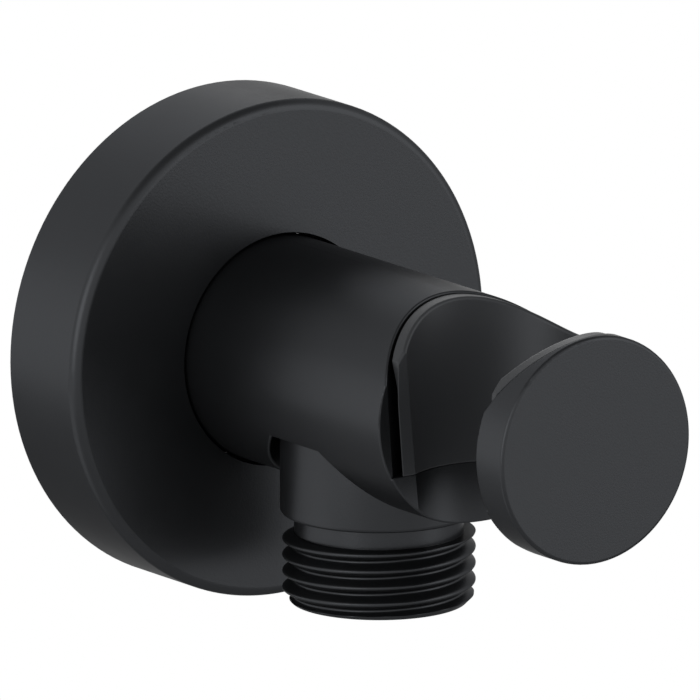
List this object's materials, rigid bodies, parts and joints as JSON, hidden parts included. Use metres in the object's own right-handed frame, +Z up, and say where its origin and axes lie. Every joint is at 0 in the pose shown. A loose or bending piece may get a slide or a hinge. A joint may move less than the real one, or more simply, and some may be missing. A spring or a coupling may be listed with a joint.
{
  "type": "wall outlet elbow",
  "caption": "Round wall outlet for a shower hose: cover flange, cylindrical bar with a tapered handset cradle and plastic liner, and a threaded outlet pointing down.",
  "frame": {"origin": "point where the bar's axis meets the wall plane", "axes": "+Z up, -Y out of the wall along the bar, +Y into the wall along the connection thread; the hose leaves towards -Z and the cradle opens towards -X"},
  "size_m": [0.055, 0.084, 0.055],
  "materials": {
    "satin_black_metal": "satin black coating on brass",
    "liner_plastic": "fine matt black moulding",
    "bare_brass": "turned, uncoated",
    "screw_steel": "plain stainless",
    "seal_rubber": "smooth black rubber",
    "foam_rubber": "closed-cell foam"
  },
  "bodies": {
    "root": {"escutcheon": "satin_black_metal", "escutcheon_o_ring": "seal_rubber", "wall_gasket": "foam_rubber", "wall_nipple": "bare_brass", "spigot_o_ring_front": "seal_rubber", "spigot_o_ring_rear": "seal_rubber", "set_screw": "screw_steel", "holder_body": "satin_black_metal", "outlet_nipple": "satin_black_metal", "outlet_o_ring": "seal_rubber", "cradle_liner": "liner_plastic"}
  },
  "joints": []
}
